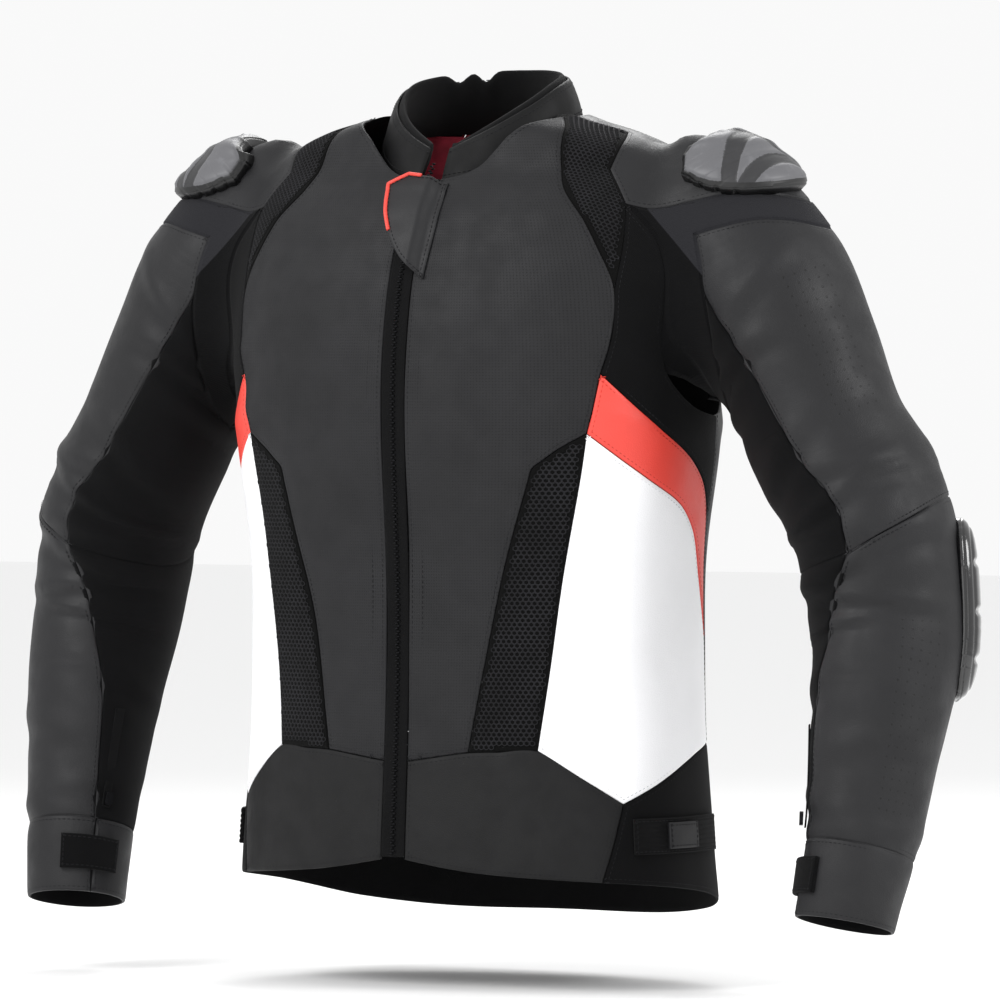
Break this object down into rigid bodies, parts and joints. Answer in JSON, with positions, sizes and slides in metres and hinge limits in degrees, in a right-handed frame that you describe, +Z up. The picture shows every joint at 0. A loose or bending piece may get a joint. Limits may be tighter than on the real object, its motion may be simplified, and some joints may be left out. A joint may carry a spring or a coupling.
{
  "type": "leather riding jacket",
  "caption": "Fitted leather motorcycle riding jacket with a short stand collar, curved sleeves, hard sliders and a front zip.",
  "frame": {"origin": "middle of the flat underside of the hang loop inside the back of the neck, where it rests on a hook", "axes": "+Z up, +Y towards the wearer's back, +X towards the wearer's left sleeve"},
  "size_m": [0.9008, 0.2859, 0.7094],
  "materials": {
    "leather": "perforated, semi-matt",
    "stretch": "matt",
    "net": "open net",
    "white": "smooth, soft gloss",
    "red": "smooth, soft gloss",
    "lining": "soft weave",
    "soft": "brushed",
    "plate": "satin",
    "gloss": "polished",
    "armour": "matt",
    "metal": "dark nickel",
    "tape": "woven"
  },
  "bodies": {
    "jacket": {"front_panel_left": "leather", "front_panel_right": "leather", "shoulder_mesh_left": "net", "shoulder_mesh_right": "net", "chest_stretch_left": "stretch", "chest_stretch_right": "stretch", "red_panel_left": "red", "red_panel_right": "red", "white_panel_left": "white", "white_panel_right": "white", "side_mesh_left": "net", "side_mesh_right": "net", "hem_band_left": "leather", "hem_band_right": "leather", "yoke_left": "leather", "yoke_right": "leather", "back_side_left": "leather", "back_side_right": "leather", "back_panel": "leather", "back_hem": "stretch", "armhole_gusset_left": "stretch", "armhole_gusset_right": "stretch", "shoulder_slider_left": "plate", "shoulder_slider_right": "plate", "shoulder_armour_left": "armour", "shoulder_armour_right": "armour", "back_protector": "armour", "neck_lining": "lining", "collar": "leather", "collar_liner": "soft", "main_zip": "tape", "waist_strap_left": "stretch", "waist_strap_right": "stretch", "trouser_zip": "tape", "hang_loop": "tape"},
    "upper_sleeve_left": {"upper_sleeve_leather_left": "leather", "upper_sleeve_stretch_left": "stretch"},
    "forearm_left": {"forearm_leather_left": "leather", "forearm_stretch_left": "stretch", "cuff_left": "leather", "elbow_slider_left": "gloss", "elbow_armour_left": "armour", "cuff_zip_left": "tape"},
    "cuff_tab_left": {"cuff_tab_left": "stretch"},
    "cuff_zip_slider_left": {"cuff_zip_slider_left": "metal"},
    "waist_tab_left": {"waist_tab_left": "leather"},
    "upper_sleeve_right": {"upper_sleeve_leather_right": "leather", "upper_sleeve_stretch_right": "stretch"},
    "forearm_right": {"forearm_leather_right": "leather", "forearm_stretch_right": "stretch", "cuff_right": "leather", "elbow_slider_right": "gloss", "elbow_armour_right": "armour", "cuff_zip_right": "tape"},
    "cuff_tab_right": {"cuff_tab_right": "stretch"},
    "cuff_zip_slider_right": {"cuff_zip_slider_right": "metal"},
    "waist_tab_right": {"waist_tab_right": "leather"},
    "zip_slider": {"zip_slider": "metal"},
    "zip_puller": {"zip_puller": "metal"},
    "storm_flap": {"storm_flap": "leather"}
  },
  "joints": [
    {"name": "shoulder_swing_left", "type": "hinge", "parent": "jacket", "child": "upper_sleeve_left", "pos_m": [0.24, -0.056, -0.072], "axis": [0, -1, 0], "range_deg": [0, 20], "deforming": ["armhole_gusset_left"]},
    {"name": "elbow_flex_left", "type": "hinge", "parent": "upper_sleeve_left", "child": "forearm_left", "pos_m": [0.374, -0.129, -0.355], "axis": [-1, 0, 0], "range_deg": [0, 45]},
    {"name": "cuff_tab_open_left", "type": "hinge", "parent": "forearm_left", "child": "cuff_tab_left", "pos_m": [0.36135, -0.1571, -0.61191], "axis": [0.0703, 0.1985, 0.9776], "range_deg": [0, 80]},
    {"name": "cuff_zip_run_left", "type": "slide", "parent": "forearm_left", "child": "cuff_zip_slider_left", "axis": [-0.0575, 0.1902, 0.9801], "range_m": [0, 0.06]},
    {"name": "waist_tab_open_left", "type": "hinge", "parent": "jacket", "child": "waist_tab_left", "pos_m": [0.2105, -0.076, -0.58666], "axis": [-0.0627, 0, 0.998], "range_deg": [0, 80]},
    {"name": "shoulder_swing_right", "type": "hinge", "parent": "jacket", "child": "upper_sleeve_right", "pos_m": [-0.24, -0.056, -0.072], "axis": [0, 1, 0], "range_deg": [0, 20], "deforming": ["armhole_gusset_right"]},
    {"name": "elbow_flex_right", "type": "hinge", "parent": "upper_sleeve_right", "child": "forearm_right", "pos_m": [-0.374, -0.129, -0.355], "axis": [-1, 0, 0], "range_deg": [0, 45]},
    {"name": "cuff_tab_open_right", "type": "hinge", "parent": "forearm_right", "child": "cuff_tab_right", "pos_m": [-0.36135, -0.1571, -0.61191], "axis": [0.0703, -0.1985, -0.9776], "range_deg": [0, 80]},
    {"name": "cuff_zip_run_right", "type": "slide", "parent": "forearm_right", "child": "cuff_zip_slider_right", "axis": [0.0575, 0.1902, 0.9801], "range_m": [0, 0.06]},
    {"name": "waist_tab_open_right", "type": "hinge", "parent": "jacket", "child": "waist_tab_right", "pos_m": [-0.2105, -0.076, -0.58666], "axis": [-0.0627, 0, -0.998], "range_deg": [0, 80]},
    {"name": "zip_run", "type": "slide", "parent": "jacket", "child": "zip_slider", "axis": [0, -0.3921, -0.9199], "range_m": [0, 0.06]},
    {"name": "puller_swing", "type": "hinge", "parent": "zip_slider", "child": "zip_puller", "pos_m": [0, -0.18271, -0.06545], "axis": [0, -0.9199, 0.3921], "range_deg": [-20, 20]},
    {"name": "storm_flap_open", "type": "hinge", "parent": "jacket", "child": "storm_flap", "pos_m": [0.0233, -0.1916, -0.0859], "axis": [0.0031, 0.4667, 0.8844], "range_deg": [0, 90]}
  ]
}
